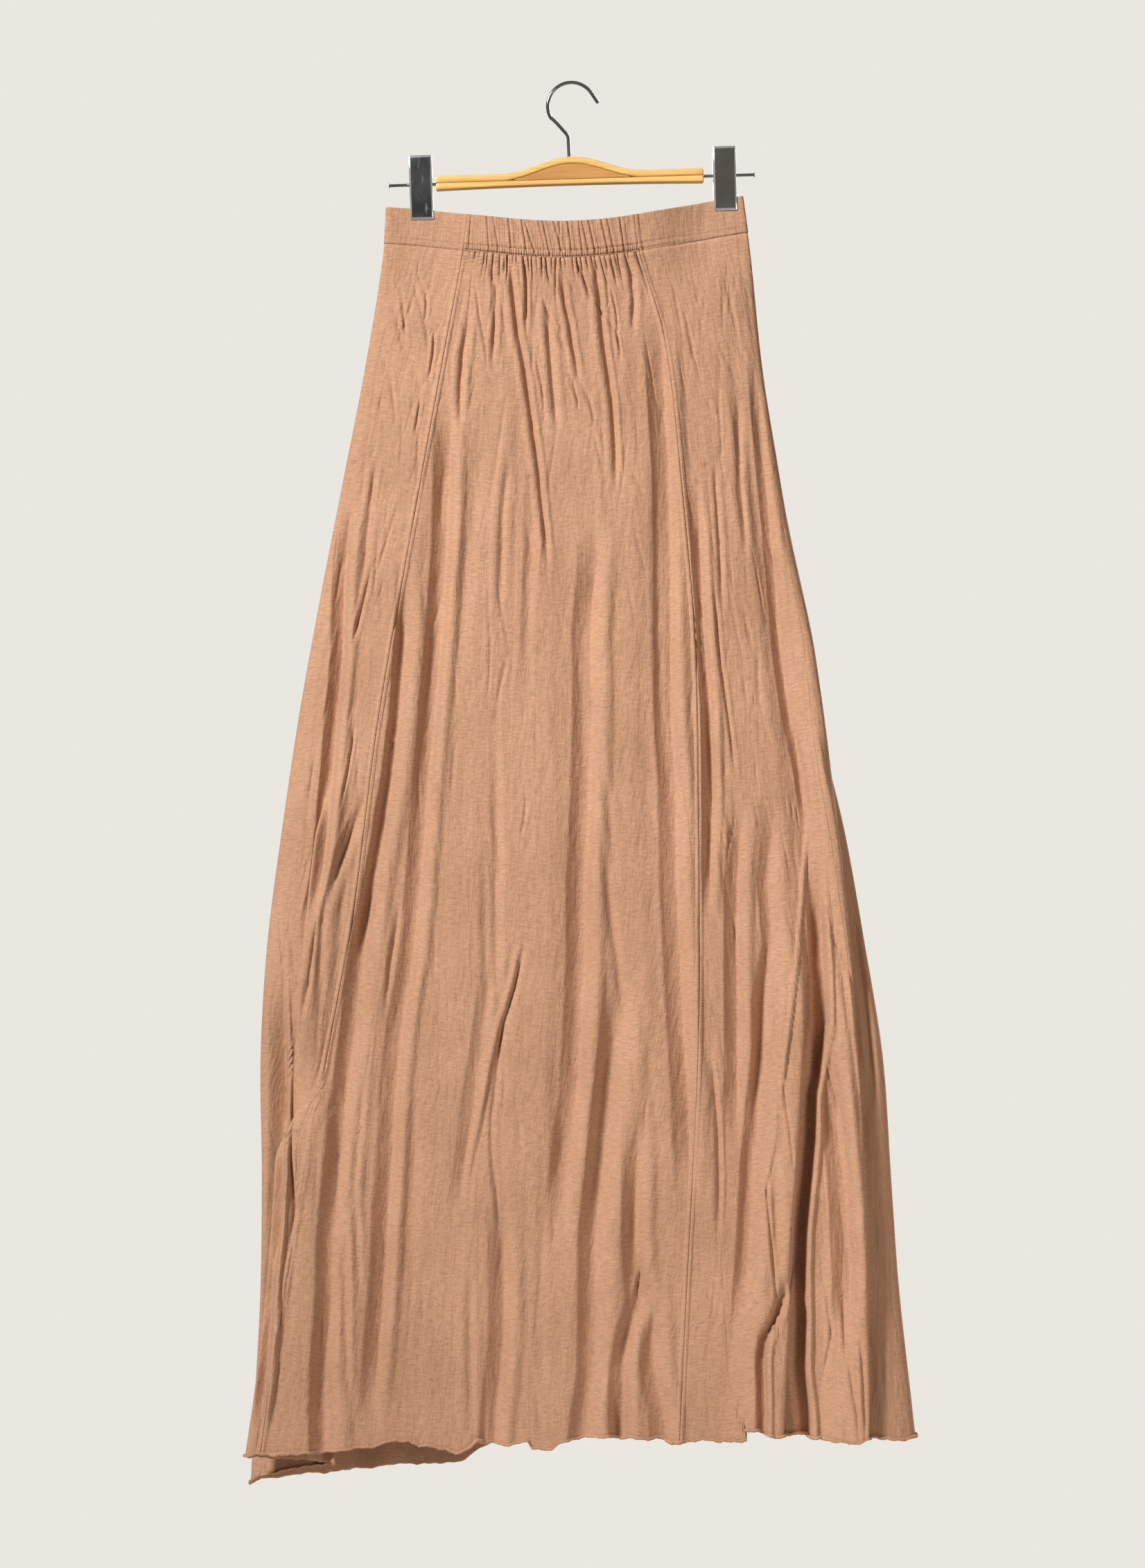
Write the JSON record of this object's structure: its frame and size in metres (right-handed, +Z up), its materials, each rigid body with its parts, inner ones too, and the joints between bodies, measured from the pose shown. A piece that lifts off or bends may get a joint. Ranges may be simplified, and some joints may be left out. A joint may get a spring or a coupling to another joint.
{
  "type": "maxi skirt on a clip hanger",
  "caption": "Long flared gored skirt in soft jersey with a part-gathered waistband and raw hem, hung flat from a wooden bar hanger with metal clips.",
  "frame": {"origin": "inside of the hook's top, where the hanger rests on its peg or rail", "axes": "+Z up, the front of the skirt faces -Y, +X is to the right seen from the front"},
  "size_m": [0.583, 0.0913, 1.2244],
  "materials": {
    "jersey": "soft matte melange jersey",
    "pale_wood": "satin lacquer",
    "dark_wood": "satin lacquer",
    "bright_metal": "polished"
  },
  "bodies": {
    "root": {"waistband_front_left": "jersey", "waistband_front_gathered": "jersey", "waistband_front_right": "jersey", "waistband_back": "jersey", "front_left_panel": "jersey", "front_centre_panel": "jersey", "front_right_panel": "jersey", "back_panel": "jersey", "bar_upper": "pale_wood", "bar_lower": "pale_wood", "bar_infill": "dark_wood", "rod_left": "bright_metal", "rod_right": "bright_metal", "clip_left_front": "bright_metal", "clip_left_back": "bright_metal", "clip_left_spring": "bright_metal", "clip_right_front": "bright_metal", "clip_right_back": "bright_metal", "clip_right_spring": "bright_metal", "hook": "bright_metal"}
  },
  "joints": []
}
